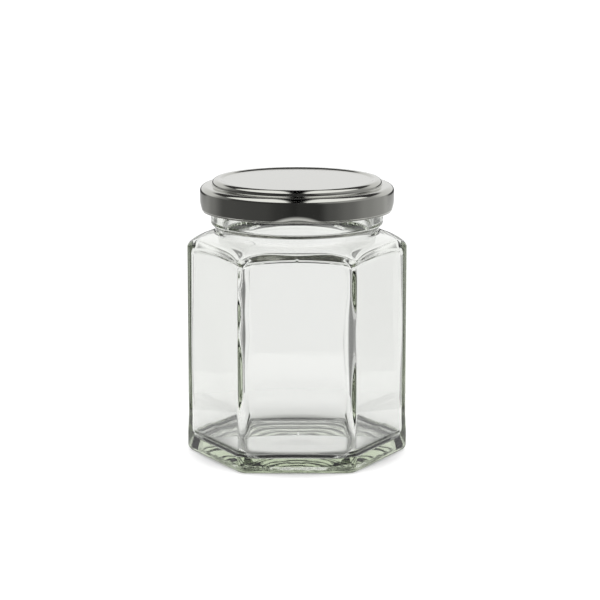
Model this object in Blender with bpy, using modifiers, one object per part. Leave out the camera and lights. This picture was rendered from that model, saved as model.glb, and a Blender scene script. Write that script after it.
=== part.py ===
"""Hexagonal glass jar with a four-lug twist-off lid, standing closed and empty.

Metres, +Z up. The origin is the middle of the base, on the surface that the jar stands on.
One flat side of the hexagon faces -Y, so two of its corners point along +X and -X.
"""

import math

import bpy
import numpy as np

MM = 0.001

# The hexagonal body of the jar
SIDES = 6
ACROSS_FLATS = 60.4 * MM
APOTHEM = ACROSS_FLATS / 2
CORNER_ROUND = 3.0 * MM

# The heel stands a little proud of the sides, which keeps a label on them from rubbing
HEEL_PROUD = 0.28 * MM
HEEL_TOP = 6.0 * MM
HEEL_END = 12.0 * MM
HEEL_ROUND = 1.9 * MM

# The base: a dome pushed up in its middle, then a flat ring to stand on; the edges of both
# are given as shares of the distance to the side
PUSH_UP = 3.0 * MM
PUSH_UP_EDGE = 0.72
PUSH_UP_EDGE_Z = 0.8 * MM
PUSH_UP_CORNER_ROUND = 12.0 * MM
BEARING_INNER = 0.82
BEARING_OUTER = 0.92
PUSH_UP_RINGS = 3

# The slope that runs in from the sides to the neck; it starts lower at the corners
SHOULDER_Z = 68.5 * MM
SHOULDER_SLOPE = 0.47
SHOULDER_ROUND = 2.6 * MM
CORNER_DROP = 1.5 * MM

# The neck and the finish, which is the ring of glass that the lid grips
NECK_RADIUS = 25.7 * MM
NECK_FOOT_Z = SHOULDER_Z + SHOULDER_SLOPE * (APOTHEM - NECK_RADIUS)
NECK_FOOT_ROUND = 0.8 * MM
WAIST_Z = 72.3 * MM
WAIST_ROUND = 0.4 * MM
FINISH_RADIUS = 26.9 * MM
FINISH_FOOT_Z = 73.3 * MM
FINISH_FOOT_ROUND = 0.8 * MM
FINISH_TOP_Z = 83.5 * MM
FINISH_TOP_ROUND = 1.2 * MM
LIP_RADIUS = 25.6 * MM
LIP_FOOT_Z = 84.8 * MM
LIP_Z = 86.4 * MM
LIP_ROUND = 0.6 * MM
MOUTH_RADIUS = 23.7 * MM

# The threads: one short sloping ridge for each lug of the lid
LUGS = 4
QUARTER = 2 * math.pi / LUGS
THREAD_HEIGHT = 1.15 * MM
THREAD_Z = 80.9 * MM
THREAD_RISE = 1.3 * MM
THREAD_SPAN = math.radians(64)
THREAD_FOOT = 1.1 * MM
THREAD_CREST = 0.4 * MM
THREAD_FLATTENING = 3.0

# The inside of the jar
WALL = 2.4 * MM
INNER_CORNER_ROUND = 3.6 * MM
FLOOR_EDGE_Z = 4.0 * MM
FLOOR_EDGE = 0.85
FLOOR_MIDDLE_Z = 4.9 * MM
FLOOR_RINGS = 2
INNER_HEEL_ROUND = 3.5 * MM
INNER_SHOULDER_DROP = 3.6 * MM
INNER_CORNER_DROP = 0.6 * MM
INNER_SHOULDER_ROUND = 4.0 * MM
INNER_NECK_RADIUS = 23.4 * MM
INNER_NECK_ROUND = 3.0 * MM

# The pressed lid: a panel, a raised ring above the lip of the jar, a shoulder and a skirt
LID_RADIUS = 30.25 * MM
LID_SHEET = 0.28 * MM
LID_STEPS = 80
LID_TOP_Z = 87.2 * MM
PANEL_Z = 86.8 * MM
PANEL_RADIUS = 23.2 * MM
PANEL_ROUND = 1.2 * MM
RING_INNER_RADIUS = 24.2 * MM
RING_OUTER_RADIUS = 26.4 * MM
RING_ROUND = 1.4 * MM
RING_FOOT_RADIUS = 26.5 * MM
LID_SHOULDER_Z = 85.2 * MM
LID_SHOULDER_ROUND = 1.7 * MM

# The curl that hides the cut edge at the foot of the skirt
CURL_TOP_Z = 78.5 * MM
CURL_FOOT_Z = 77.5 * MM
CURL_RADIUS = 30.0 * MM
CURL_SIZE = 0.95 * MM
CURL_ROUND = 0.42 * MM

# The lugs, pressed inward at the foot of the lid's skirt
LUG_DEPTH = 1.75 * MM
LUG_TOP_Z = 79.7 * MM
LUG_FOOT_Z = 77.9 * MM
LUG_HALF_ANGLE = math.radians(14.5)
LUG_SOFTNESS = 1.5

# Finishes: linear colours, and the angle above which an edge is drawn sharp
GLASS_COLOUR = (0.94, 0.96, 0.94)
GLASS_IOR = 1.52
GLASS_SHARP = math.radians(35)
TINPLATE_COLOUR = (0.62, 0.62, 0.60)
TINPLATE_SHARP = math.radians(40)

# Points round one sixth of the jar, as degrees from its corner; they crowd where the wall turns
SECTOR_DEGREES = (-18.5, -9.5, -5.2, -2.55, -1.25, 0.0, 1.25, 2.55, 5.2, 9.5, 18.5, 30.0)


def clear_scene():
    """Remove every object, so that only the jar is left."""
    for found in list(bpy.data.objects):
        bpy.data.objects.remove(found, do_unlink=True)


def material(name, colour, roughness, metallic, transmission=0.0, ior=1.5):
    """A Principled material with the given finish."""
    made = bpy.data.materials.new(name)
    made.use_nodes = True
    shader = made.node_tree.nodes["Principled BSDF"]
    shader.inputs["Base Color"].default_value = (*colour, 1.0)
    shader.inputs["Roughness"].default_value = roughness
    shader.inputs["Metallic"].default_value = metallic
    shader.inputs["Transmission Weight"].default_value = transmission
    shader.inputs["IOR"].default_value = ior
    return made


def round_angles():
    """The polar angles of the points in every ring of the jar, going round from +X."""
    corners = np.arange(SIDES) * 360.0 / SIDES
    return np.radians((corners[:, None] + np.array(SECTOR_DEGREES)[None, :]).ravel())


def hexagon_radius(angles, apothem, corner_round):
    """Distance from the axis to a hexagon with rounded corners, in each direction.

    A flat side is apothem / cos(angle from the side's middle). Within the corner's arc it is
    the far crossing with a circle of corner_round about a centre on the corner's own line.
    """
    sector = math.pi / SIDES
    from_corner = np.abs((angles + sector) % (2 * sector) - sector)
    centre = (apothem - corner_round) / math.cos(sector)
    arc_end = math.atan2(corner_round * math.sin(sector), centre + corner_round * math.cos(sector))
    flat = apothem / np.cos(sector - from_corner)
    inside_arc = np.minimum(from_corner, arc_end)
    arc = centre * np.cos(inside_arc) + np.sqrt(corner_round**2 - (centre * np.sin(inside_arc)) ** 2)
    return np.where(from_corner < arc_end, arc, flat)


def corner_reach(side):
    """A share for each direction: 0 in the middle of a side, and rising late to 1 at a corner."""
    return ((side - side.min()) / (side.max() - side.min())) ** 2


def arc_between(before, corner, after, radius, count):
    """Points of the arc of this radius that rounds a corner between two straight lines.

    Each place is a pair (distance from the axis, height), as numbers or as whole rings, so the
    corner may stand at another height in every direction.
    """
    whole = np.stack(np.broadcast_arrays(*before, *corner, *after))
    before, corner, after = whole[0:2], whole[2:4], whole[4:6]
    back = (before - corner) / np.linalg.norm(before - corner, axis=0)
    onward = (after - corner) / np.linalg.norm(after - corner, axis=0)
    half = np.arccos(np.clip((back * onward).sum(axis=0), -1.0, 1.0)) / 2
    middle = (back + onward) / np.linalg.norm(back + onward, axis=0)
    centre = corner + middle * radius / np.sin(half)
    first = corner + back * radius / np.tan(half) - centre
    last = corner + onward * radius / np.tan(half) - centre
    sweep = math.pi - 2 * half
    points = []
    for share in np.linspace(0.0, 1.0, count):
        weights = np.sin((1 - share) * sweep), np.sin(share * sweep)
        r, z = centre + (first * weights[0] + last * weights[1]) / np.sin(sweep)
        points.append((r, z))
    return points


def rounded(stations):
    """Points through (radius, height, rounding, count) stations; a rounding of 0 keeps the corner."""
    points = []
    for k, (radius, height, rounding, count) in enumerate(stations):
        if rounding > 0:
            before, after = stations[k - 1][:2], stations[k + 1][:2]
            points += arc_between(before, (radius, height), after, rounding, count)
        else:
            points.append((radius, height))
    return points


def dome(edge, edge_z, middle_z, count):
    """Rings of a shallow dome, from near its middle out to its edge: a parabola in height."""
    rings = []
    for share in np.arange(1, count + 1) / count:
        rings.append((share * edge, edge_z + (middle_z - edge_z) * (1 - share**2)))
    return rings


def thread_path(angles):
    """How far each thread has climbed, and how far it stands out, in each direction.

    In each quarter turn the ridge climbs evenly along its span and the rings return to its
    foot in the gap. It stands out by a cosine that is flattened along the middle.
    """
    along = (angles + QUARTER / 2) % QUARTER - QUARTER / 2
    share = np.clip(along / THREAD_SPAN, -0.5, 0.5)
    gap = np.clip((np.abs(along) - THREAD_SPAN / 2) / (QUARTER / 2 - THREAD_SPAN / 2), 0.0, 1.0)
    climb = THREAD_RISE * share * (1 - gap)
    height = THREAD_HEIGHT * np.clip(THREAD_FLATTENING * np.cos(math.pi * share), 0.0, 1.0)
    return climb, height


def outer_rings(angles):
    """The outer surface from the middle of the base up to the lip: a list of (radius, height) rings."""
    side = hexagon_radius(angles, APOTHEM, CORNER_ROUND)
    heel = side + HEEL_PROUD
    push_up_edge = PUSH_UP_EDGE * hexagon_radius(angles, APOTHEM, PUSH_UP_CORNER_ROUND)
    body = [
        (BEARING_INNER * side, 0.0, 0, 0),
        (BEARING_OUTER * side, 0.0, 0, 0),
        (heel, 0.0, HEEL_ROUND, 4),
        (heel, HEEL_TOP, 0, 0),
        (side, HEEL_END, 0, 0),
        (side, SHOULDER_Z - CORNER_DROP * corner_reach(side), SHOULDER_ROUND, 5),
        (NECK_RADIUS, NECK_FOOT_Z, NECK_FOOT_ROUND, 3),
        (NECK_RADIUS, WAIST_Z, WAIST_ROUND, 2),
        (FINISH_RADIUS, FINISH_FOOT_Z, FINISH_FOOT_ROUND, 3),
    ]
    climb, height = thread_path(angles)
    threads = []
    for offset, share in ((-THREAD_FOOT, 0), (-THREAD_CREST, 1), (THREAD_CREST, 1), (THREAD_FOOT, 0)):
        threads.append((FINISH_RADIUS + share * height, THREAD_Z + climb + offset))
    finish = [
        (FINISH_RADIUS, FINISH_TOP_Z, FINISH_TOP_ROUND, 2),
        (LIP_RADIUS, LIP_FOOT_Z, 0, 0),
        (LIP_RADIUS, LIP_Z, LIP_ROUND, 3),
        (MOUTH_RADIUS, LIP_Z, 0, 0),
    ]
    below_finish = [(FINISH_RADIUS, FINISH_FOOT_Z, 0, 0)]
    above_bead = [(FINISH_RADIUS, FINISH_TOP_Z, 0, 0)]
    rings = dome(push_up_edge, PUSH_UP_EDGE_Z, PUSH_UP, PUSH_UP_RINGS)
    rings += rounded(body + above_bead)[:-1]
    rings += threads
    rings += rounded(below_finish + finish)[1:-1]
    return rings


def inner_rings(angles):
    """The inner surface from the lip down to the floor, as a list of (radius, height) rings."""
    side = hexagon_radius(angles, APOTHEM - WALL, INNER_CORNER_ROUND)
    shoulder = SHOULDER_Z - INNER_SHOULDER_DROP
    drop = INNER_CORNER_DROP * corner_reach(side)
    wall = [
        (LIP_RADIUS, LIP_Z, 0, 0),
        (MOUTH_RADIUS, LIP_Z, LIP_ROUND, 3),
        (INNER_NECK_RADIUS, shoulder + SHOULDER_SLOPE * (APOTHEM - INNER_NECK_RADIUS), INNER_NECK_ROUND, 4),
        (side, shoulder + SHOULDER_SLOPE * WALL - drop, INNER_SHOULDER_ROUND, 4),
        (side, FLOOR_EDGE_Z, INNER_HEEL_ROUND, 5),
        (0.0, FLOOR_EDGE_Z, 0, 0),
    ]
    floor = dome(FLOOR_EDGE * side, FLOOR_EDGE_Z, FLOOR_MIDDLE_Z, FLOOR_RINGS)
    return rounded(wall)[1:-1] + floor[::-1]


def skin_rings(rings, angles, start_z, end_z):
    """Vertices and faces of the closed surface through the rings, with a pole at each end."""
    count = len(angles)
    directions = np.stack([np.cos(angles), np.sin(angles)], axis=1)
    points = [np.array([[0.0, 0.0, start_z]])]
    for radius, height in rings:
        distance = np.broadcast_to(radius, count)
        points.append(np.column_stack([distance[:, None] * directions, np.broadcast_to(height, count)]))
    points.append(np.array([[0.0, 0.0, end_z]]))
    faces = []
    last = 1 + len(rings) * count
    for k in range(count):
        following = (k + 1) % count
        faces.append((0, 1 + following, 1 + k))
        for ring in range(len(rings) - 1):
            low = 1 + ring * count
            high = low + count
            faces.append((low + k, low + following, high + following, high + k))
        faces.append((last - count + k, last - count + following, last))
    return np.concatenate(points), faces


def make_jar(collection):
    """The glass jar: one closed body lofted from the hexagon up to the round mouth and back down."""
    angles = round_angles()
    rings = outer_rings(angles) + inner_rings(angles)
    points, faces = skin_rings(rings, angles, PUSH_UP, FLOOR_MIDDLE_Z)
    mesh = bpy.data.meshes.new("jar_glass")
    mesh.from_pydata(points.tolist(), [], faces)
    mesh.shade_smooth()
    mesh.set_sharp_from_angle(angle=GLASS_SHARP)
    mesh.materials.append(material("clear soda-lime glass", GLASS_COLOUR, 0.02, 0.0, 1.0, GLASS_IOR))
    jar = bpy.data.objects.new("jar_glass", mesh)
    collection.objects.link(jar)


def lid_profile():
    """Half of the lid's section as (radius, height) points: out over its top, down, and back inside."""
    inside = LID_RADIUS - LID_SHEET
    curl_inside = CURL_RADIUS - CURL_SIZE
    under_top = LID_TOP_Z - LID_SHEET
    under_shoulder = LID_SHOULDER_Z - LID_SHEET
    ring_inside = RING_FOOT_RADIUS - LID_SHEET
    return rounded([
        (0.0, PANEL_Z, 0, 0),
        (PANEL_RADIUS, PANEL_Z, PANEL_ROUND, 2),
        (RING_INNER_RADIUS, LID_TOP_Z, PANEL_ROUND, 3),
        (RING_OUTER_RADIUS, LID_TOP_Z, RING_ROUND, 4),
        (RING_FOOT_RADIUS, LID_SHOULDER_Z, 0, 0),
        (LID_RADIUS, LID_SHOULDER_Z, LID_SHOULDER_ROUND, 4),
        (LID_RADIUS, LUG_TOP_Z, 0, 0),
        (LID_RADIUS, CURL_TOP_Z, 0, 0),
        (CURL_RADIUS, CURL_TOP_Z - LID_SHEET, 0, 0),
        (CURL_RADIUS, CURL_FOOT_Z, CURL_ROUND, 3),
        (curl_inside, CURL_FOOT_Z, CURL_ROUND, 3),
        (curl_inside, CURL_TOP_Z, 0, 0),
        (inside, CURL_TOP_Z + LID_SHEET, 0, 0),
        (inside, LUG_TOP_Z, 0, 0),
        (inside, under_shoulder, LID_SHOULDER_ROUND - LID_SHEET, 4),
        (ring_inside, under_shoulder, 0, 0),
        (RING_OUTER_RADIUS - LID_SHEET, under_top, RING_ROUND - LID_SHEET, 3),
        (RING_INNER_RADIUS, under_top, PANEL_ROUND - LID_SHEET, 2),
        (PANEL_RADIUS, PANEL_Z - LID_SHEET, PANEL_ROUND, 2),
        (0.0, PANEL_Z - LID_SHEET, 0, 0),
    ])


def turned_mesh(name, profile, steps):
    """A closed turned body: the profile swept once round +Z by a Screw modifier, then made a mesh."""
    mesh = bpy.data.meshes.new(name + "_section")
    edges = [(k, k + 1) for k in range(len(profile) - 1)]
    mesh.from_pydata([(float(r), 0.0, float(z)) for r, z in profile], edges, [])
    section = bpy.data.objects.new(name + "_section", mesh)
    bpy.context.scene.collection.objects.link(section)
    screw = section.modifiers.new("turn", "SCREW")
    screw.steps = steps
    screw.render_steps = steps
    screw.use_merge_vertices = True
    screw.merge_threshold = 0.01 * MM
    graph = bpy.context.evaluated_depsgraph_get()
    turned = bpy.data.meshes.new_from_object(section.evaluated_get(graph))
    bpy.data.objects.remove(section, do_unlink=True)
    turned.name = name
    return turned


def press_lugs(mesh):
    """Push the foot of the skirt inward at each lug, deepest at its middle and its lower edge."""
    points = np.empty(len(mesh.vertices) * 3, np.float32)
    mesh.vertices.foreach_get("co", points)
    points = points.reshape(-1, 3).astype(float)
    radius = np.hypot(points[:, 0], points[:, 1])
    angle = np.arctan2(points[:, 1], points[:, 0])
    from_lug = np.abs((angle + QUARTER / 2) % QUARTER - QUARTER / 2)
    across = np.cos(math.pi / 2 * np.clip(from_lug / LUG_HALF_ANGLE, 0.0, 1.0)) ** LUG_SOFTNESS
    down = np.clip((LUG_TOP_Z - points[:, 2]) / (LUG_TOP_Z - LUG_FOOT_Z), 0.0, 1.0)
    scale = 1 - LUG_DEPTH * across * down / np.maximum(radius, LUG_DEPTH)
    points[:, :2] *= scale[:, None]
    mesh.vertices.foreach_set("co", points.astype(np.float32).ravel())
    mesh.update()


def make_lid(collection):
    """The pressed tinplate lid with its raised ring, rolled foot and four lugs."""
    mesh = turned_mesh("lid", lid_profile(), LID_STEPS)
    press_lugs(mesh)
    mesh.shade_smooth()
    mesh.set_sharp_from_angle(angle=TINPLATE_SHARP)
    mesh.materials.clear()
    mesh.materials.append(material("silver lacquered tinplate", TINPLATE_COLOUR, 0.2, 1.0))
    lid = bpy.data.objects.new("lid", mesh)
    collection.objects.link(lid)


def main():
    clear_scene()
    collection = bpy.data.collections.new("hexagonal_glass_jar")
    bpy.context.scene.collection.children.link(collection)
    make_jar(collection)
    make_lid(collection)


main()
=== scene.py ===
# %% [markdown]
# # A hexagonal glass jar with a twist-off lid
#
# The real jar is made twice over: a lump of hot glass is first pressed or blown into a short
# blank, and the blank is then blown out against a cold iron mould. That is why the outside is
# crisp and the inside is soft and uneven. The lid is pressed from thin tinned steel sheet. This
# lesson builds both as surfaces worked out by formulas, because clear glass and bright metal
# show every facet of a coarse mesh, and then lights them as a studio lights glass: from behind.

# %% Load the frame
import math
import bpy
import numpy as np
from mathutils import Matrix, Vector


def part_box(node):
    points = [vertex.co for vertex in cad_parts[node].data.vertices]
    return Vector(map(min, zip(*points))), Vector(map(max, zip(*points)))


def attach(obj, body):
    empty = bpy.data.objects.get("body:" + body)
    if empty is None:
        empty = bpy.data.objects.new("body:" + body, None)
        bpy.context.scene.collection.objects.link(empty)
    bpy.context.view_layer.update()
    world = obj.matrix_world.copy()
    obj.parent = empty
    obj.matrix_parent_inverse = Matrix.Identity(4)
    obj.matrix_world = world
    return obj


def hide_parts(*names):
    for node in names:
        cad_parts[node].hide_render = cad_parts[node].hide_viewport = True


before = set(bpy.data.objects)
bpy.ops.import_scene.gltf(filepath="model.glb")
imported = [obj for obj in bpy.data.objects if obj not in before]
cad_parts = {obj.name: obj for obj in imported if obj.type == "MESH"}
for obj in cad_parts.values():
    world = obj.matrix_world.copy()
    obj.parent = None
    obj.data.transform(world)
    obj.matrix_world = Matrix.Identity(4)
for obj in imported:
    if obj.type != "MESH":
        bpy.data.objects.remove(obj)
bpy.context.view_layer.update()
MM = 0.001
JAR_LOW, JAR_HIGH = (np.array(corner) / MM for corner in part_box("jar_glass"))
LID_LOW, LID_HIGH = (np.array(corner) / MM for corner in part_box("lid"))
print("jar", JAR_LOW.round(2), JAR_HIGH.round(2), "lid", LID_LOW.round(2), LID_HIGH.round(2))

# %% [markdown]
# ## Sizes
# Everything is worked out in millimetres from the frame's own boxes: the width across the flats,
# the height of the glass lip and the width and height of the lid. The few other sizes are
# those of a 58 mm twist-off finish and of a pressed lid. A sector is half the angle between two
# corners of the hexagon.

# %% Driving sizes, in millimetres
SIDES = 6
SECTOR = math.pi / SIDES
HEEL_PROUD = 0.28
APOTHEM = JAR_HIGH[1] - HEEL_PROUD
LIP_Z = JAR_HIGH[2]
CORNER_ROUND = 3.0
WALL = 2.4
LID_RADIUS = LID_HIGH[0]
LID_TOP_Z = LID_HIGH[2]
LID_FOOT_Z = LID_LOW[2]
print("across flats", round(2 * APOTHEM, 2), "lip", round(LIP_Z, 2), "lid radius", round(LID_RADIUS, 2))

# %% [markdown]
# ## A hexagon with rounded corners
# In polar form a flat side lies at apothem / cos(angle from the side's middle). Near a corner
# the outline is instead a circle about a centre on the corner's own line. Written this way, the
# hexagon and the round neck are both just a distance in every direction, so one sheet of points
# can run from one to the other without a seam. The columns crowd towards the corners, where the
# glass bends light most.


# %% The hexagon's distance in every direction
def from_corner(angles):
    """Signed angle from the nearest corner of the hexagon, between -30 and +30 degrees."""
    return (angles + SECTOR) % (2 * SECTOR) - SECTOR


def hexagon(angles, apothem, corner_round):
    """Flat part: apothem / cos(30 degrees - a). Corner: c cos a + sqrt(round^2 - (c sin a)^2)."""
    a = np.abs(from_corner(angles))
    centre = (apothem - corner_round) / math.cos(SECTOR)
    arc_end = np.arctan2(corner_round * math.sin(SECTOR), centre + corner_round * math.cos(SECTOR))
    inside = np.minimum(a, arc_end)
    arc = centre * np.cos(inside) + np.sqrt(corner_round**2 - (centre * np.sin(inside)) ** 2)
    return np.where(a < arc_end, arc, apothem / np.cos(SECTOR - a))


HALF_COLUMNS = 30
CROWDING = 1.6
share = np.arange(-HALF_COLUMNS, HALF_COLUMNS) / HALF_COLUMNS
sector_angles = SECTOR * np.sign(share) * np.abs(share) ** CROWDING
ANGLES = (np.arange(SIDES)[:, None] * 2 * SECTOR + sector_angles[None, :]).ravel()
print("columns round the jar:", len(ANGLES))

# %% [markdown]
# ## A section with rounded corners
# Glass has no sharp corners, so each section is a row of straight runs joined by arcs. A station
# is a corner of the section: its radius, its height, its rounding, the number of points on its
# arc and the number of points on the run before it. Radius and height may be whole rings, one
# value for each direction. So the arch where the sloping shoulder meets a flat side comes out by
# itself, and the points follow it.


# %% Straight runs joined by arcs
def arc_points(before, corner, after, radius, count):
    """The arc of this radius tangent to both runs; weights sin((1-t)s), sin(ts) over sin(s)."""
    back = before - corner
    onward = after - corner
    back = back / np.linalg.norm(back, axis=0)
    onward = onward / np.linalg.norm(onward, axis=0)
    half = np.arccos(np.clip((back * onward).sum(axis=0), -1.0, 1.0)) / 2
    sweep = math.pi - 2 * half
    centre = corner + (back + onward) / np.linalg.norm(back + onward, axis=0) * radius / np.sin(half)
    first = corner + back * radius / np.tan(half) - centre
    last = corner + onward * radius / np.tan(half) - centre
    t = np.linspace(0.0, 1.0, count)[:, None, None]
    return centre + (first * np.sin((1 - t) * sweep) + last * np.sin(t * sweep)) / np.sin(sweep)


def section(stations, columns):
    """Rings (rows, 2, columns): from each arc's end straight to the next arc's start, then its arc."""
    ends = [np.stack(np.broadcast_arrays(r, z, np.zeros(columns))[:2]) for r, z, *_ in stations]
    rows = [ends[0][None]]
    for k in range(1, len(stations)):
        rounding, arc_count, run_count = stations[k][2:]
        if rounding > 0 and k < len(stations) - 1:
            piece = arc_points(ends[k - 1], ends[k], ends[k + 1], rounding, arc_count)
        else:
            piece = ends[k][None]
        t = np.linspace(0.0, 1.0, run_count + 2)[1:-1, None, None]
        rows.append(rows[-1][-1] * (1 - t) + piece[0] * t)
        rows.append(piece)
    return np.concatenate(rows)


square = section([(1.0, 0.0, 0, 0, 0), (1.0, 1.0, 0.5, 3, 0), (0.0, 1.0, 0, 0, 0)], 1)
print("a square corner rounded by a half:", square[:, :, 0].round(3).tolist())

# %% [markdown]
# ## A shallow dome
# The middle of the base is pushed up, underneath and inside, so that the jar stands on its rim.
# Both domes are the same formula, a parabola from the rim to the middle.


# %% A dome from its middle to its rim
def dome(rim, rim_z, middle_z, count):
    """Rings out to the rim; height is rim_z + (middle_z - rim_z) (1 - t^2), t the share of the way."""
    t = np.linspace(0.0, 1.0, count)[:, None]
    rise = rim_z + (middle_z - rim_z) * (1 - t**2)
    return np.stack([t * rim, np.broadcast_to(rise, (count, len(rim)))], axis=1)


print("heights of a dome of 1, middle to rim:", dome(np.ones(1), 0.0, 1.0, 5)[:, 1, 0].tolist())

# %% [markdown]
# ## The base
# The jar stands on a flat bearing ring round the edge, and inside it the base is pushed up clear
# of the table. The push-up comes from the bottom plate, which is a separate part of the mould,
# and its corners are much rounder than the body's. The heel stands a little proud of the flat
# sides and fades into them over a long curve. A label then lies in a shallow recess, safe from
# rubbing.

# %% The sizes of the base, and the push-up
side = hexagon(ANGLES, APOTHEM, CORNER_ROUND)
PUSH_UP = 3.0
PUSH_UP_EDGE_Z = 0.8
PUSH_UP_SHARE = 0.72
PUSH_UP_CORNER_ROUND = 12.0
BEARING_SHARE = 0.82
BEARING_ROUND = 0.8
HEEL_ROUND = 1.9
HEEL_TOP_Z = 6.0
HEEL_END_Z = 12.0
HEEL_FADE = 24.0
push_up_edge = PUSH_UP_SHARE * hexagon(ANGLES, APOTHEM, PUSH_UP_CORNER_ROUND)
underside = dome(push_up_edge, PUSH_UP_EDGE_Z, PUSH_UP, 28)
ring_end = side.min() + HEEL_PROUD - HEEL_ROUND
print("bearing ring from", (BEARING_SHARE * side.min()).round(2), "to", ring_end.round(2), "mm at a flat")

# %% [markdown]
# ## The outside of the jar
# Above the flat sides come the sloping shoulder, the waist of the neck, and the finish, which is
# the glassmaker's word for the part that takes the lid. The shoulder starts lower at the corners
# than over the flats, as the photo shows. The whole outside is one list of stations.

# %% The outer section
SHOULDER_Z = 68.5
SHOULDER_SLOPE = 0.47
SHOULDER_ROUND = 2.6
CORNER_DROP = 1.5
NECK_RADIUS = 25.7
WAIST_Z = 72.3
WAIST_ROUND = 0.4
FOOT_ROUND = 0.8
FINISH_FOOT_Z = 73.3
FINISH_RADIUS = 26.9
FINISH_TOP_Z = 83.5
FINISH_TOP_ROUND = 1.2
LIP_FOOT_Z = 84.8
LIP_ROUND = 0.6
LIP_RADIUS = 25.6
MOUTH_RADIUS = 23.7
LIP_MIDDLE = (LIP_RADIUS + MOUTH_RADIUS) / 2
shoulder_z = SHOULDER_Z - CORNER_DROP * ((side - APOTHEM) / (side.max() - APOTHEM)) ** 2
neck_foot_z = SHOULDER_Z + SHOULDER_SLOPE * (APOTHEM - NECK_RADIUS)
outer = section(
    [
        (push_up_edge, PUSH_UP_EDGE_Z, 0, 0, 0),
        (BEARING_SHARE * side, 0.0, BEARING_ROUND, 4, 2),
        (side + HEEL_PROUD, 0.0, HEEL_ROUND, 10, 3),
        (side + HEEL_PROUD, HEEL_TOP_Z, HEEL_FADE, 6, 1),
        (side, HEEL_END_Z, HEEL_FADE, 6, 0),
        (side, shoulder_z, SHOULDER_ROUND, 11, 24),
        (NECK_RADIUS, neck_foot_z, FOOT_ROUND, 6, 5),
        (NECK_RADIUS, WAIST_Z, WAIST_ROUND, 5, 0),
        (FINISH_RADIUS, FINISH_FOOT_Z, FOOT_ROUND, 6, 0),
        (FINISH_RADIUS, FINISH_TOP_Z, FINISH_TOP_ROUND, 5, 22),
        (LIP_RADIUS, LIP_FOOT_Z, FOOT_ROUND, 4, 0),
        (LIP_RADIUS, LIP_Z, LIP_ROUND, 5, 1),
        (LIP_MIDDLE, LIP_Z, 0, 0, 0),
    ],
    len(ANGLES),
)
outer = np.concatenate([underside[:-1], outer])
print("outer rings", len(outer), "highest", outer[:, 1].max().round(2))

# %% [markdown]
# ## The inside of the jar
# Nothing touches the inside while the glass is blown, so it keeps softer corners and the glass
# is thicker in them. The shoulder is the thickest place, because the glass folds over there. The
# inside runs down from the lip to the middle of the floor, as a second list of stations.

# %% The inner section
FLOOR_EDGE_Z = 4.0
FLOOR_MIDDLE_Z = 4.9
FLOOR_SHARE = 0.85
INNER_HEEL_ROUND = 3.5
INNER_SHOULDER_ROUND = 4.0
INNER_SHOULDER_DROP = 3.6
INNER_CORNER_DROP = 0.6
INNER_CORNER_ROUND = 3.6
INNER_NECK_RADIUS = 23.4
INNER_NECK_RISE = 0.8
INNER_NECK_ROUND = 3.0
inner_side = hexagon(ANGLES, APOTHEM - WALL, INNER_CORNER_ROUND)
inner_share = (inner_side - inner_side.min()) / (inner_side.max() - inner_side.min())
inner_top_z = SHOULDER_Z - INNER_SHOULDER_DROP
inner_cone_z = inner_top_z - INNER_CORNER_DROP * inner_share**2 + SHOULDER_SLOPE * WALL
inner_neck_z = inner_top_z + INNER_NECK_RISE + SHOULDER_SLOPE * (APOTHEM - INNER_NECK_RADIUS)
inner = section(
    [
        (LIP_MIDDLE, LIP_Z, 0, 0, 0),
        (MOUTH_RADIUS, LIP_Z, LIP_ROUND, 5, 0),
        (INNER_NECK_RADIUS, inner_neck_z, INNER_NECK_ROUND, 10, 12),
        (inner_side, inner_cone_z, INNER_SHOULDER_ROUND, 12, 3),
        (inner_side, FLOOR_EDGE_Z, INNER_HEEL_ROUND, 16, 28),
        (FLOOR_SHARE * inner_side, FLOOR_EDGE_Z, 0, 0, 0),
    ],
    len(ANGLES),
)
floor_inside = dome(FLOOR_SHARE * inner_side, FLOOR_EDGE_Z, FLOOR_MIDDLE_Z, 24)
inner = np.concatenate([inner, floor_inside[-2::-1]])
print("inner rings", len(inner))

# %% [markdown]
# ## Shallow waves
# The inner wall touches no mould, so it carries shallow waves. They are a sum of sines, each with
# its own phase, and seeded so that every run gives the same jar.

# %% A smooth sum of sines
rng = np.random.default_rng(58)
WAVES = 9
MOST_TURNS = 6
SLOWEST_RISE, FASTEST_RISE = 0.03, 0.16


def soft_noise(angles, heights, depth):
    """depth / sqrt(waves) times the sum of sin(turns * angle + rise * height + phase)."""
    total = np.zeros(np.broadcast(angles, heights).shape)
    for _ in range(WAVES):
        turns = rng.integers(1, MOST_TURNS + 1)
        rise = rng.uniform(SLOWEST_RISE, FASTEST_RISE)
        total += np.sin(turns * angles + rise * heights + rng.uniform(0, 2 * math.pi))
    return depth * total / math.sqrt(WAVES)


print("waves in the sum:", WAVES)

# %% [markdown]
# ## Uneven corners
# The corners of the mould take longest to fill, and the breath of air reaches further into them
# in some places than in others. Seen from outside, such a hollow makes the dark line of a corner
# swell and thin out again. Each hollow is a bell along the height of one corner, where the
# inside's rounding is smaller and the glass is thinner. A row gives the number of the corner,
# and the hollow's middle height, its reach up and down and its depth in millimetres.

# %% Hollows along the corners
HOLLOWS = (
    (0, 40.0, 14.0, 2.6),
    (1, 26.0, 10.0, 3.0),
    (2, 52.0, 9.0, 3.2),
    (3, 33.0, 16.0, 2.4),
    (4, 30.0, 9.0, 3.6),
    (4, 50.0, 5.0, 1.6),
    (4, 63.0, 3.0, 2.6),
    (5, 24.0, 10.0, 2.2),
    (5, 60.0, 8.0, 3.6),
)
SMALLEST_ROUND = 1.2


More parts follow.
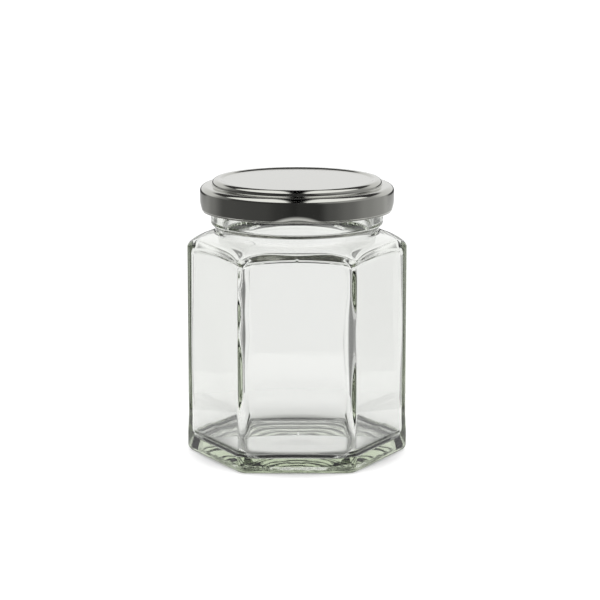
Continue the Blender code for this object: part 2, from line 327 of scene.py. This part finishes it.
def corner_rounding(heights):
    """The usual inner rounding less the sum of depth * exp(-((height - middle) / reach)^2)."""
    which = np.floor((ANGLES + SECTOR) / (2 * SECTOR)).astype(int) % SIDES
    bells = np.zeros(heights.shape)
    for corner, middle, reach, depth in HOLLOWS:
        bells += (which == corner) * depth * np.exp(-(((heights - middle) / reach) ** 2))
    return np.maximum(INNER_CORNER_ROUND - bells, SMALLEST_ROUND)


print("smallest inner rounding:", corner_rounding(inner[:, 1]).min().round(2), "mm")

# %% [markdown]
# ## Uneven glass on the inner wall
# Waves and hollows are laid on the straight part of the inner wall. They fade out above the floor
# and below the shoulder, where the fillets have to stay smooth.

# %% Lay the waves and hollows on the wall
WAVE_DEPTH = 0.03
WAVES_FROM, WAVES_FULL = 7.0, 13.0
WAVES_FADE, WAVES_TO = 61.0, 66.0
inner_z = inner[:, 1]
rising = np.clip((inner_z - WAVES_FROM) / (WAVES_FULL - WAVES_FROM), 0, 1)
falling = np.clip((WAVES_TO - inner_z) / (WAVES_TO - WAVES_FADE), 0, 1)
on_wall = rising * falling
bends = np.broadcast_to(ANGLES, inner_z.shape)
swell = inner_side - hexagon(bends, APOTHEM - WALL, corner_rounding(inner_z))
swell = swell + soft_noise(ANGLES[None, :], inner_z, WAVE_DEPTH)
inner[:, 0] -= on_wall * swell
print("the wall moves in by", (on_wall * swell).max().round(2), "out by", -(on_wall * swell).min().round(2))

# %% [markdown]
# ## The threads
# A twist-off finish has four short ridges. Each climbs a little, and a lug of the lid runs in
# under it. The rings of the finish are lifted along with the ridge, so its edges stay clean.

# %% The ridges, seen along the rim
QUARTER = math.pi / 2
THREAD_SPAN = math.radians(64)
THREAD_CLIMB = 1.3
THREAD_HEIGHT = 1.15
THREAD_FLATNESS = 3.0


def thread(angles):
    """Climb: a straight line along the ridge. Height: a cosine, made taller and cut off flat."""
    along_rim = (angles + QUARTER / 2) % QUARTER - QUARTER / 2
    turned = np.clip(along_rim / THREAD_SPAN, -0.5, 0.5)
    past_end = (np.abs(along_rim) - THREAD_SPAN / 2) / (QUARTER / 2 - THREAD_SPAN / 2)
    climbed = THREAD_CLIMB * turned * (1 - np.clip(past_end, 0.0, 1.0))
    return climbed, THREAD_HEIGHT * np.clip(THREAD_FLATNESS * np.cos(math.pi * turned), 0.0, 1.0)


climb, stand = thread(ANGLES)
print("a ridge climbs", (climb.max() - climb.min()).round(2), "mm and stands", stand.max().round(2), "mm")

# %% [markdown]
# ## Ridges on the finish
# Across the rim a ridge is a smooth bell. Between the foot and the top of the finish, the rings
# ride up and down with the ridge and are still again at both ends.

# %% Four sloping ridges under the lid
THREAD_Z = 80.9
THREAD_HALF = 0.85
THREAD_FULLNESS = 1.45
BAND_FOOT_Z, BAND_TOP_Z = 76.0, 83.2
FADE_LOW, FADE_HIGH = 3.0, 1.5
outer_z = outer[:, 1]
in_band = (outer_z > BAND_FOOT_Z) & (outer_z < BAND_TOP_Z)
on_finish = in_band & (outer[:, 0] > (NECK_RADIUS + FINISH_RADIUS) / 2)
from_foot = np.clip((outer_z - BAND_FOOT_Z) / FADE_LOW, 0, 1)
lift = from_foot * np.clip((BAND_TOP_Z - outer_z) / FADE_HIGH, 0, 1)
bell = np.clip(THREAD_FULLNESS - np.abs((outer_z - THREAD_Z) / THREAD_HALF), 0, 1)
smooth_bell = bell * bell * (3 - 2 * bell)
outer[:, 0] += np.where(on_finish, stand * smooth_bell, 0.0)
outer[:, 1] += np.where(on_finish, climb * lift, 0.0)
print("thread crest radius", outer[:, 0][on_finish].max().round(2))

# %% [markdown]
# ## From rings to a mesh
# The rings are stacked into one grid of points. Each quad joins two rings and two columns, and
# a fan closes each pole. The whole index table is built at once from the grid's own numbering.
# The faces point outwards when the rings climb on the outside of the piece.


# %% Build a closed skin
def skin(name, rings, angles):
    """Points (r cos a, r sin a, z) of rings (rows, 2, columns); the first and last ring are poles."""
    rows, columns = len(rings) - 2, len(angles)
    body = rings[1:-1]
    grid = np.stack([body[:, 0] * np.cos(angles), body[:, 0] * np.sin(angles), body[:, 1]], axis=-1)
    poles = np.array([[0, 0, rings[0, 1, 0]], [0, 0, rings[-1, 1, 0]]])
    points = np.concatenate([poles, grid.reshape(-1, 3)]) * MM
    index = 2 + np.arange(rows * columns).reshape(rows, columns)
    onward = np.roll(index, -1, axis=1)
    quads = np.stack([index[:-1], onward[:-1], onward[1:], index[1:]], axis=-1).reshape(-1, 4)
    first = np.stack([np.zeros(columns, int), onward[0], index[0]], axis=-1)
    last = np.stack([np.ones(columns, int), index[-1], onward[-1]], axis=-1)
    mesh = bpy.data.meshes.new(name)
    mesh.from_pydata(points, [], first.tolist() + quads.tolist() + last.tolist())
    mesh.validate()
    mesh.shade_smooth()
    made = bpy.data.objects.new(name, mesh)
    bpy.context.scene.collection.objects.link(made)
    print(name, len(mesh.vertices), "points,", len(first) * 2 + len(quads) * 2, "triangles")
    return made


jar = skin("blown_glass_jar", np.concatenate([outer, inner[1:]]), ANGLES)

# %% [markdown]
# ## The lid
# One strip of steel sheet, seen in section: a flat panel, a raised ring over the glass lip, a
# shoulder, a straight skirt, and a curl at the foot that hides the cut edge. The section is
# swept once round the axis. These are its outer stations, from the middle of the panel to the
# inside of the curl, with a row of points where the lugs will begin.

# %% The lid's section, outside
SHEET = 0.28
PANEL_Z = LID_TOP_Z - 0.4
PANEL_RADIUS = 23.2
PANEL_ROUND = 1.2
RING_INNER_RADIUS = 24.2
RING_RADIUS = 26.5
RING_LEAN = 0.1
RING_ROUND = 1.4
SHOULDER_TOP_Z = 85.2
SHOULDER_TOP_ROUND = 1.7
CURL_Z = 78.2
CURL_RADIUS = 30.0
CURL_STEP = 0.25
CURL_ROUND = 0.3
CURL_INNER_RADIUS = CURL_RADIUS - 0.95
LUG_TOP_Z = 80.9
top_side = [
    (0.0, PANEL_Z, 0, 0, 0),
    (PANEL_RADIUS, PANEL_Z, PANEL_ROUND, 6, 6),
    (RING_INNER_RADIUS, LID_TOP_Z, PANEL_ROUND, 7, 0),
    (RING_RADIUS - RING_LEAN, LID_TOP_Z, RING_ROUND, 12, 2),
    (RING_RADIUS, SHOULDER_TOP_Z, 0.25, 5, 1),
    (LID_RADIUS, SHOULDER_TOP_Z, SHOULDER_TOP_ROUND, 12, 1),
    (LID_RADIUS, LUG_TOP_Z, 0, 0, 8),
    (LID_RADIUS, CURL_Z, 0.15, 3, 10),
    (CURL_RADIUS, CURL_Z - CURL_STEP, 0.1, 3, 0),
    (CURL_RADIUS, LID_FOOT_Z, CURL_ROUND, 7, 0),
    (CURL_INNER_RADIUS, LID_FOOT_Z, CURL_ROUND, 7, 0),
    (CURL_INNER_RADIUS, CURL_Z, 0.25, 4, 0),
]
print("stations on the outside of the lid:", len(top_side))

# %% [markdown]
# ## The lid's inside
# The same strip seen from below, one thickness of sheet further in. Under a raised bend its
# rounding is smaller than the one on top, as in bent sheet.

# %% The lid's section, inside
LID_COLUMNS = 576
shoulder_under_z = SHOULDER_TOP_Z - SHEET
under_side = [
    (LID_RADIUS - SHEET, CURL_Z + 0.2, 0.1, 3, 0),
    (LID_RADIUS - SHEET, shoulder_under_z, SHOULDER_TOP_ROUND - SHEET, 8, 10),
    (RING_RADIUS - SHEET, shoulder_under_z, 0.5, 4, 1),
    (RING_RADIUS - SHEET - RING_LEAN, LID_TOP_Z - SHEET, 0.57, 5, 0),
    (RING_INNER_RADIUS, LID_TOP_Z - SHEET, 0.9, 5, 0),
    (PANEL_RADIUS, PANEL_Z - SHEET, PANEL_ROUND, 5, 0),
    (0.0, PANEL_Z - SHEET, 0, 0, 5),
]
lid_angles = np.arange(LID_COLUMNS) * 2 * math.pi / LID_COLUMNS
lid_rings = section(top_side + under_side, LID_COLUMNS)
print("lid rings", len(lid_rings))

# %% [markdown]
# ## The lugs
# At four places the foot of the skirt is pressed inward, so that the curl reaches in under a
# thread. From outside this shows as a shallow arch, a parabola along the rim. Below the arch the
# skirt leans in by the cube of the way down, gently at first and more steeply towards the foot.
# So the bright table shows in it as a patch that grows lighter downwards. The rings are turned
# round at the end, so that they climb on the outside and the faces point outwards.

# %% Press the lugs
LUG_BOTTOM_Z = 77.9
LUG_RISE = LUG_TOP_Z - LUG_BOTTOM_Z
LUG_DEPTH = 1.4
LUG_BEND = 3.0
LUG_HALF_ANGLE = math.radians(18.5)
from_lug = np.abs((lid_angles + QUARTER / 2) % QUARTER - QUARTER / 2)
arch = 1 - np.clip(from_lug / LUG_HALF_ANGLE, 0, 1) ** 2
arch_z = LUG_BOTTOM_Z + LUG_RISE * arch
below = np.clip((arch_z - lid_rings[:, 1]) / LUG_RISE, 0, arch)
lid_rings[:, 0] -= LUG_DEPTH * below**LUG_BEND * (lid_rings[:, 0] > RING_RADIUS)
lid = skin("pressed_tinplate_lid", lid_rings[::-1], lid_angles)
print("lugs reach in to", round(CURL_INNER_RADIUS - LUG_DEPTH, 2), "mm from the axis")

# %% [markdown]
# ## Helpers for the finishes
# One function turns a screen colour into the linear values that a shader needs. One small
# function adds any node: each key names a property or a socket, and a socket given as the
# value is linked. A third writes the grey levels of a ramp, and a fourth starts a material.


# %% Colour, node, ramp and material
def linear(code):
    """sRGB hex code to linear RGBA: c / 12.92 below 0.04045, else ((c + 0.055) / 1.055) ^ 2.4."""
    c = np.array([int(code[k : k + 2], 16) for k in (0, 2, 4)]) / 255
    return (*np.where(c <= 0.04045, c / 12.92, ((c + 0.055) / 1.055) ** 2.4).tolist(), 1.0)


def add(tree, kind, settings):
    """Add one node with its settings; a whole number as the key counts the sockets."""
    node = tree.nodes.new(kind)
    for key, value in settings.items():
        if isinstance(value, bpy.types.NodeSocket):
            tree.links.new(value, node.inputs[key])
        elif isinstance(key, str) and hasattr(node, key):
            setattr(node, key, value)
        else:
            node.inputs[key].default_value = value
    return node


def fill(ramp, stops):
    """Write (place, level) stops into a colour ramp, eased from one to the next."""
    ramp.interpolation = "EASE"
    while len(ramp.elements) < len(stops):
        ramp.elements.new(0.5)
    for element, (place, level) in zip(ramp.elements, sorted(stops)):
        element.position = place
        element.color = (level, level, level, 1.0)


def new_material(name):
    """An empty node material and its tree."""
    made = bpy.data.materials.new(name)
    made.use_nodes = True
    made.node_tree.nodes.clear()
    return made, made.node_tree


WHITE = linear("ffffff")
print("mid grey in linear light:", round(linear("808080")[0], 3))

# %% [markdown]
# ## The skin of blown glass
# Clear soda-lime glass, blown in an iron mould. The mould leaves its marks on the surface. Long
# shallow ripples make the reflections swim. The bearing ring is stippled with nubs a few
# millimetres apart, so that the hot jar does not cool too fast on the belt. They scatter the
# light and give the base its row of dark and bright beads, and they also make the ring matt.

# %% Ripples, and the stippled ring
RIPPLE_LENGTH = 9.0
RIPPLE_DEPTH = 0.012
NUB_SPACING = 2.7
NUB_DEPTH = 0.25
RING_TOP = 0.9
RING_ROUGHNESS = 0.22

glass, tree = new_material("clear_soda_lime_glass_blown")
spot = add(tree, "ShaderNodeTexCoord", {}).outputs["Object"]
spot_z = add(tree, "ShaderNodeSeparateXYZ", {"Vector": spot}).outputs["Z"]
on_ring = add(tree, "ShaderNodeMapRange", {
    "Value": spot_z, "From Min": RING_TOP * MM, "From Max": 0.5 * RING_TOP * MM,
}).outputs[0]
ripples = add(tree, "ShaderNodeTexNoise", {
    "Vector": spot, "Scale": 1 / (RIPPLE_LENGTH * MM), "Detail": 1.0,
}).outputs[0]
normal = add(tree, "ShaderNodeBump", {"Height": ripples, "Distance": RIPPLE_DEPTH * MM}).outputs[0]
nubs = add(tree, "ShaderNodeTexVoronoi", {
    "Vector": spot, "Scale": 1 / (NUB_SPACING * MM),
}).outputs["Distance"]
nubs_here = add(tree, "ShaderNodeMath", {"operation": "MULTIPLY", 0: nubs, 1: on_ring}).outputs[0]
normal = add(tree, "ShaderNodeBump", {
    "Height": nubs_here, "Distance": NUB_DEPTH * MM, "Normal": normal, "invert": True,
}).outputs[0]
matt = add(tree, "ShaderNodeMath", {"operation": "MULTIPLY", 0: on_ring, 1: RING_ROUGHNESS}).outputs[0]
print(glass.name, "nubs", NUB_SPACING, "mm apart")

# %% [markdown]
# ## Pips
# Two small pips mark where the mould was vented, one under the shoulder and one above the heel,
# both in the middle of the front. Each is a smooth swelling of the surface.

# %% Two vent marks on the front
PIPS = ((0.0, -APOTHEM, 66.5), (0.4, -APOTHEM, 12.8))
PIP_RADIUS = 0.6
PIP_DEPTH = 0.15
for pip in PIPS:
    centre = tuple(float(value) * MM for value in pip)
    from_pip = add(tree, "ShaderNodeVectorMath", {
        "operation": "DISTANCE", 0: spot, 1: centre,
    }).outputs["Value"]
    swelling = add(tree, "ShaderNodeMapRange", {
        "Value": from_pip, "From Min": PIP_RADIUS * MM, "From Max": 0.0,
        "interpolation_type": "SMOOTHSTEP",
    }).outputs[0]
    normal = add(tree, "ShaderNodeBump", {
        "Height": swelling, "Distance": PIP_DEPTH * MM, "Normal": normal,
    }).outputs[0]
print("pips:", len(PIPS))

# %% [markdown]
# ## Clear glass
# Soda-lime glass has an index of 1.52. Its faint green cast comes from iron and shows only
# where light has run a long way through it, so the colour sits in the volume and the surface
# stays clear. The eye gets clear walls and grey-green edges.

# %% Clear soda-lime glass
GLASS_INDEX = 1.52
GLASS_TINT = "e6ebde"
TINT_DENSITY = 52.0
shader = add(tree, "ShaderNodeBsdfPrincipled", {
    "Base Color": WHITE, "IOR": GLASS_INDEX, "Transmission Weight": 1.0, "Roughness": matt,
    "Normal": normal,
}).outputs[0]
tint = add(tree, "ShaderNodeVolumeAbsorption", {
    "Color": linear(GLASS_TINT), "Density": TINT_DENSITY,
}).outputs[0]
add(tree, "ShaderNodeOutputMaterial", {"Surface": shader, "Volume": tint})
jar.data.materials.append(glass)
print(glass.name, len(tree.nodes), "nodes")

# %% [markdown]
# ## Tinplate
# The steel is rolled, tinned and covered with a clear silver lacquer before it is pressed.
# Its grey is a little warmer than chrome. The lacquer dries with a faint orange peel, which
# breaks up the edges of the reflections, and the rolls leave a fine grain along one direction
# that makes the shine slightly uneven. The real grain is finer than a quarter of a millimetre
# and is drawn that coarse so that it shows.

# %% Bright tinplate under clear lacquer
TIN_GREY = "b7b7b1"
PEEL_LENGTH = 1.3
PEEL_DEPTH = 0.0016
GRAIN_WIDTH = 0.25
GRAIN_STRETCH = 24.0
SHINIEST, DULLEST = 0.06, 0.15

tin, tree = new_material("bright_tinplate_silver_lacquer")
spot = add(tree, "ShaderNodeTexCoord", {}).outputs["Object"]
stretched = add(tree, "ShaderNodeMapping", {
    "Vector": spot, "Scale": (1.0 / GRAIN_STRETCH, 1.0, 1.0),
}).outputs[0]
grain = add(tree, "ShaderNodeTexNoise", {
    "Vector": stretched, "Scale": 1 / (GRAIN_WIDTH * MM), "Detail": 2.0,
}).outputs[0]
shine = add(tree, "ShaderNodeMapRange", {"Value": grain, "To Min": SHINIEST, "To Max": DULLEST}).outputs[0]
peel = add(tree, "ShaderNodeTexNoise", {
    "Vector": spot, "Scale": 1 / (PEEL_LENGTH * MM), "Detail": 1.0,
}).outputs[0]
normal = add(tree, "ShaderNodeBump", {"Height": peel, "Distance": PEEL_DEPTH * MM}).outputs[0]
shader = add(tree, "ShaderNodeBsdfPrincipled", {
    "Base Color": linear(TIN_GREY), "Metallic": 1.0, "Roughness": shine, "Normal": normal,
}).outputs[0]
add(tree, "ShaderNodeOutputMaterial", {"Surface": shader})
lid.data.materials.append(tin)
print(tin.name, len(tree.nodes), "nodes")

# %% [markdown]
# ## Joining the frame
# Both pieces ride on the frame's one body and stand in for its two solids.

# %% Ride and replace
for piece, node, slot in ((jar, "jar_glass", "glass"), (lid, "lid", "tinplate")):
    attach(piece, "root")
    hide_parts(node)
print("pieces joined:", jar.name, lid.name)

# %% [markdown]
# ## The floor
# The jar stands on a small disc of white board. Its colour glows, a painted light that stands in for a
# light table beneath it. A wide bright floor would shine into the glass from the front and wash out its
# dark edges.

# %% A small disc
FLOOR_RADIUS = 85.0
bpy.ops.mesh.primitive_circle_add(vertices=128, radius=FLOOR_RADIUS * MM, fill_type="NGON")
floor = bpy.context.object
floor.name = "pale_floor"
print("floor", floor.name, "radius", FLOOR_RADIUS, "mm")

# %% [markdown]
# ## Light under the jar
# The board's painted glow lies round the jar and in a patch under its middle. Under the rim it is left
# dark, a painted contact shade. The thick base works as a lens, and its front half shows the bright patch
# as a window with rounded corners.

# %% The painted light table, and painted contact shade under the rim
AROUND_GLOW, AROUND_FROM, AROUND_FULL = 0.32, 30.0, 35.0
MIDDLE_GLOW, MIDDLE_FULL, MIDDLE_TO = 0.6, 18.0, 24.0

pale, tree = new_material("white_board_painted_glow_and_shade")
spot = add(tree, "ShaderNodeTexCoord", {}).outputs["Object"]
from_axis = add(tree, "ShaderNodeVectorMath", {"operation": "LENGTH", 0: spot}).outputs["Value"]
around_jar = add(tree, "ShaderNodeMapRange", {
    "Value": from_axis, "From Min": AROUND_FROM * MM, "From Max": AROUND_FULL * MM,
    "To Max": AROUND_GLOW,
}).outputs[0]
middle = add(tree, "ShaderNodeMapRange", {
    "Value": from_axis, "From Min": MIDDLE_TO * MM, "From Max": MIDDLE_FULL * MM,
    "To Max": MIDDLE_GLOW,
}).outputs[0]
# Painted contact shade: between MIDDLE_TO and AROUND_FROM from the axis, under the rim, the board does not
# glow.
glow = add(tree, "ShaderNodeMath", {"operation": "MAXIMUM", 0: around_jar, 1: middle}).outputs[0]
print("the board is dark from", MIDDLE_TO, "to", AROUND_FROM, "mm from the axis")

# %% [markdown]
# ## Dark under the jar
# Under the rear of the jar, inside the rim, a patch of the board is painted black and does not glow, a
# painted shade that keeps the rear heel grey. What the camera sees directly glows a little more, so that
# the floor is as white as the photo's. The board itself is matt, so that the jar throws no mirror image on
# it.

# %% The painted shade under the rear, and the matt board
SHADE_FROM, SHADE_FULL = 12.0, 17.0
SHADE_RIM, SHADE_END = 28.0, 32.0
SEEN_GLOW = 0.22
BOARD_WHITE = "d2d2d2"
PAINTED_SHADE_BLACK = "101010"
BOARD_ROUGHNESS = 0.9
# Painted shade: behind the middle and inside the rim, the board turns black and its glow is cut.
spot_y = add(tree, "ShaderNodeSeparateXYZ", {"Vector": spot}).outputs["Y"]
nearer = add(tree, "ShaderNodeMapRange", {
    "Value": spot_y, "From Min": SHADE_FULL * MM, "From Max": SHADE_FROM * MM,
}).outputs[0]
beyond = add(tree, "ShaderNodeMapRange", {
    "Value": from_axis, "From Min": SHADE_RIM * MM, "From Max": SHADE_END * MM,
}).outputs[0]
off_painted_shade = add(tree, "ShaderNodeMath", {"operation": "MAXIMUM", 0: nearer, 1: beyond}).outputs[0]
glow = add(tree, "ShaderNodeMath", {"operation": "MULTIPLY", 0: glow, 1: off_painted_shade}).outputs[0]
direct = add(tree, "ShaderNodeLightPath", {}).outputs["Is Camera Ray"]
glow = add(tree, "ShaderNodeMath", {
    "operation": "MULTIPLY_ADD", 0: direct, 1: SEEN_GLOW, 2: glow,
}).outputs[0]
# The board's white, painted black where the painted shade lies.
board_with_painted_shade = add(tree, "ShaderNodeMix", {
    "data_type": "RGBA", "Factor": off_painted_shade, 6: linear(PAINTED_SHADE_BLACK), 7: linear(BOARD_WHITE),
}).outputs[2]
shader = add(tree, "ShaderNodeBsdfPrincipled", {
    "Base Color": board_with_painted_shade, "Roughness": BOARD_ROUGHNESS, "Emission Color": WHITE,
    "Emission Strength": glow,
}).outputs[0]
add(tree, "ShaderNodeOutputMaterial", {"Surface": shader})
floor.data.materials.append(pale)
print(pale.name, len(tree.nodes), "nodes")

# %% [markdown]
# ## The studio
# Glass is lit from behind: white behind the jar makes its walls clear, and darkness at the
# sides and in front draws its edges and corners as dark lines. Bright metal shows the room
# instead, so the lid sees a dark front, light walls at the sides and a lamp overhead. A
# photographer reaches both with cards and flags close to the jar. Here the world holds two
# rooms, one for light that has gone through glass and one for light that metal throws back,
# and the camera itself and the floor see plain white. A direction is split into how far it goes
# round, from 0 to 1, and how far up: below the horizon, in the walls, or in the ceiling.

# %% Directions in the room
HORIZON_FROM, HORIZON_TO = -0.02, 0.06
CEILING_FROM, CEILING_TO = 0.45, 0.56

world = bpy.data.worlds.new("light_tent")
world.use_nodes = True
world.cycles.sampling_method = "NONE"
bpy.context.scene.world = world
tree = world.node_tree
tree.nodes.clear()
looking = add(tree, "ShaderNodeTexCoord", {}).outputs["Generated"]
axes = add(tree, "ShaderNodeSeparateXYZ", {"Vector": looking}).outputs
bearing = add(tree, "ShaderNodeMath", {"operation": "ARCTAN2", 0: axes["X"], 1: axes["Y"]}).outputs[0]
round_room = add(tree, "ShaderNodeMapRange", {
    "Value": bearing, "From Min": -math.pi, "From Max": math.pi,
}).outputs[0]
soft = {"interpolation_type": "SMOOTHSTEP"}
above = add(tree, "ShaderNodeMapRange", {
    "Value": axes["Z"], "From Min": HORIZON_FROM, "From Max": HORIZON_TO, **soft,
}).outputs[0]
high = add(tree, "ShaderNodeMapRange", {
    "Value": axes["Z"], "From Min": CEILING_FROM, "From Max": CEILING_TO, **soft,
}).outputs[0]
print("walls from", HORIZON_TO, "to", CEILING_FROM, "of the way up")

# %% [markdown]
# ## Walls
# Each wall is a ring of grey levels round the jar, in degrees from the front and positive to the
# right. The ring above the horizon serves both rooms, and below the horizon the lid and the glass
# have a ring each. Through glass, the room is white behind and has dark strips beside it that
# draw the corners and outlines. Three windows stand opposite the other places that the jar is
# looked at from.


# %% Three rings of grey levels
def around(stops):
    """(degrees, level) to (place, level): place is 1 - degrees / 360, and the front is at 0."""
    return [(1.0 - (degrees % 360) / 360 if degrees else 0.0, level) for degrees, level in stops]


LOW_LID = ((-179, 1.0), (-145, 0.6), (-120, 0.32), (-96, 0.12), (-40, 0.1), (-20, 0.065), (0, 0.042),
           (25, 0.055), (40, 0.14), (66, 0.24), (90, 0.4), (117, 0.5), (150, 0.85), (179, 1.0))
MID_LID = ((-179, 1.0), (-125, 1.0), (-100, 0.3), (-80, 0.08), (0, 0.045), (18, 0.06), (36, 0.35),
           (60, 0.55), (100, 0.5), (130, 1.0), (179, 1.0))
LOW_GLASS = ((-179, 1.0), (-167, 1.0), (-161, 0.2), (-152, 0.2), (-145, 1.0), (-123, 1.0), (-117, 0.4),
             (-107, 0.4), (-101, 1.0), (-80, 1.0), (-74, 0.1), (0, 0.1), (22, 0.12), (31, 1.0), (59, 1.0),
             (68, 0.25), (97, 0.25), (105, 0.6), (134, 0.6), (141, 0.2), (160, 0.2), (167, 1.0),
             (179, 1.0))
walls = []
for stops in (LOW_LID, MID_LID, LOW_GLASS):
    wall = add(tree, "ShaderNodeValToRGB", {0: round_room})
    fill(wall.color_ramp, around(stops))
    walls.append(wall.outputs[0])
low_lid, mid_lid, low_glass = walls
print("grey levels in the walls:", len(LOW_LID), len(MID_LID), len(LOW_GLASS))

# %% [markdown]
# ## The lamp overhead
# The lamp is a pair of long panels, left and right, with a dark gap between. The gap parts the
# highlight on the lid's shoulder in the middle. The lamp comes down low towards the camera and
# at both sides, and stays high behind the jar, so the highlight follows the whole shoulder and
# the flat panel stays plain.

# %% Two panels and a dark gap
LAMP = 1.6
CEILING_DARK = 0.06
GAP_HALF, GAP_END = 0.1, 0.2
SIDE_BEND = -0.45
FORWARD, BACK = -0.25, 0.1
LAMP_FOOT = (0.4, 0.86)
LAMP_FULL = (0.55, 0.95)
number = {"data_type": "FLOAT"}
sideways = add(tree, "ShaderNodeMath", {"operation": "ABSOLUTE", 0: axes["X"]}).outputs[0]
panels = add(tree, "ShaderNodeMapRange", {
    "Value": sideways, "From Min": GAP_HALF, "From Max": GAP_END, "To Max": LAMP, **soft,
}).outputs[0]
bent = add(tree, "ShaderNodeMath", {
    "operation": "MULTIPLY_ADD", 0: sideways, 1: SIDE_BEND, 2: axes["Y"],
}).outputs[0]
backward = add(tree, "ShaderNodeMapRange", {
    "Value": bent, "From Min": FORWARD, "From Max": BACK, **soft,
}).outputs[0]
foot = add(tree, "ShaderNodeMapRange", {
    "Value": backward, "To Min": LAMP_FOOT[0], "To Max": LAMP_FOOT[1],
}).outputs[0]
full = add(tree, "ShaderNodeMapRange", {
    "Value": backward, "To Min": LAMP_FULL[0], "To Max": LAMP_FULL[1],
}).outputs[0]
in_lamp = add(tree, "ShaderNodeMapRange", {
    "Value": axes["Z"], "From Min": foot, "From Max": full, **soft,
}).outputs[0]
ceiling = add(tree, "ShaderNodeMix", {
    **number, "Factor": in_lamp, "A": CEILING_DARK, "B": panels,
}).outputs[0]
print("lamp strength", LAMP)

# %% [markdown]
# ## The table, as the lid sees it
# Far behind the jar and just below the horizon runs a dark strip, the far edge of the table. It
# darkens the curl of the lid. Steeply down the table is bright, and that light is what shows in
# the lugs and under the curl.

# %% The table's edge and its top
STRIP_GREY = 0.06
STRIP_FROM, STRIP_FULL = 0.6, 0.8
STRIP_FOOT, STRIP_TOP = -0.17, -0.13
TABLE_GLOW = 0.8
TABLE_FROM, TABLE_FULL = -0.3, -0.9
behind = add(tree, "ShaderNodeMapRange", {
    "Value": axes["Y"], "From Min": STRIP_FROM, "From Max": STRIP_FULL, **soft,
}).outputs[0]
over_foot = add(tree, "ShaderNodeMapRange", {
    "Value": axes["Z"], "From Min": STRIP_FOOT, "From Max": STRIP_TOP, **soft,
}).outputs[0]
strip = add(tree, "ShaderNodeMath", {"operation": "MULTIPLY", 0: behind, 1: over_foot}).outputs[0]
table_top = add(tree, "ShaderNodeMapRange", {
    "Value": axes["Z"], "From Min": TABLE_FROM, "From Max": TABLE_FULL, "To Max": TABLE_GLOW, **soft,
}).outputs[0]
low_room = add(tree, "ShaderNodeMix", {
    **number, "Factor": strip, "A": low_lid, "B": STRIP_GREY,
}).outputs[0]
lower = add(tree, "ShaderNodeMath", {"operation": "MAXIMUM", 0: low_room, 1: table_top}).outputs[0]
print("the table glows", TABLE_GLOW, "straight down")

# %% [markdown]
# ## Two rooms in one world
# The parts are joined from the bottom up, once for metal and once for glass, and the kind of
# ray chooses between them. The camera and the matt floor see one plain white instead.

# %% Join the rooms
PLAIN_WHITE = 1.12
upper = add(tree, "ShaderNodeMix", {**number, "Factor": high, "A": mid_lid, "B": ceiling}).outputs[0]
metal_sees = add(tree, "ShaderNodeMix", {**number, "Factor": above, "A": lower, "B": upper}).outputs[0]
glass_sees = add(tree, "ShaderNodeMix", {**number, "Factor": above, "A": low_glass, "B": upper}).outputs[0]
ray = add(tree, "ShaderNodeLightPath", {}).outputs
plain = add(tree, "ShaderNodeMath", {
    "operation": "MAXIMUM", 0: ray["Is Camera Ray"], 1: ray["Is Diffuse Ray"],
}).outputs[0]
seen = add(tree, "ShaderNodeMix", {
    **number, "Factor": ray["Is Transmission Ray"], "A": metal_sees, "B": glass_sees,
}).outputs[0]
strength = add(tree, "ShaderNodeMix", {**number, "Factor": plain, "A": seen, "B": PLAIN_WHITE}).outputs[0]
backdrop = add(tree, "ShaderNodeBackground", {"Color": WHITE, "Strength": strength}).outputs[0]
add(tree, "ShaderNodeOutputWorld", {"Surface": backdrop})
print(world.name, len(tree.nodes), "nodes")

# %% [markdown]
# ## Camera
# The photo was taken from about three quarters of a metre, looking down a little less than
# twelve degrees. The place, the angle and the focal length were fitted to the jar's outline. In
# the photo the jar stands a little left of the middle and below it, so the camera is turned a
# little to the right and up.

# %% Camera
PITCH = math.radians(11.716)
DISTANCE = 747.0
AIM = np.array([0.0, 0.0, 42.0])
FRAME_PIXELS = 600
FOCAL_PIXELS = 2368.3
LEFT_PIXELS, LOW_PIXELS = 3.0, 20.1
SENSOR = 36.0
eye = AIM + DISTANCE * np.array([0.0, -math.cos(PITCH), math.sin(PITCH)])
lens = bpy.data.cameras.new("photo_camera")
lens.sensor_width = SENSOR
lens.lens = FOCAL_PIXELS * SENSOR / FRAME_PIXELS
lens.clip_start = 0.01
camera = bpy.data.objects.new("photo_camera", lens)
bpy.context.scene.collection.objects.link(camera)
camera.location = tuple(eye * MM)
to_right = math.atan2(LEFT_PIXELS, FOCAL_PIXELS)
downward = PITCH - math.atan2(LOW_PIXELS, FOCAL_PIXELS)
camera.rotation_euler = (math.pi / 2 - downward, 0.0, -to_right)
bpy.context.scene.camera = camera
print("camera", eye.round(1), "mm, focal length", round(lens.lens, 1), "mm")

# %% [markdown]
# ## Light through many layers
# A line of sight crosses up to a dozen glass surfaces, and in the base it is thrown to and fro
# many times, so the light may bounce more often than usual before it is given up as black.

# %% Bounces and tone
GLASS_BOUNCES = 32
METAL_BOUNCES = 16
scene = bpy.context.scene
scene.view_settings.view_transform = "Standard"
scene.cycles.max_bounces = GLASS_BOUNCES
scene.cycles.transmission_bounces = GLASS_BOUNCES
scene.cycles.glossy_bounces = METAL_BOUNCES
scene.cycles.use_denoising = True
print("bounces through glass:", scene.cycles.transmission_bounces)
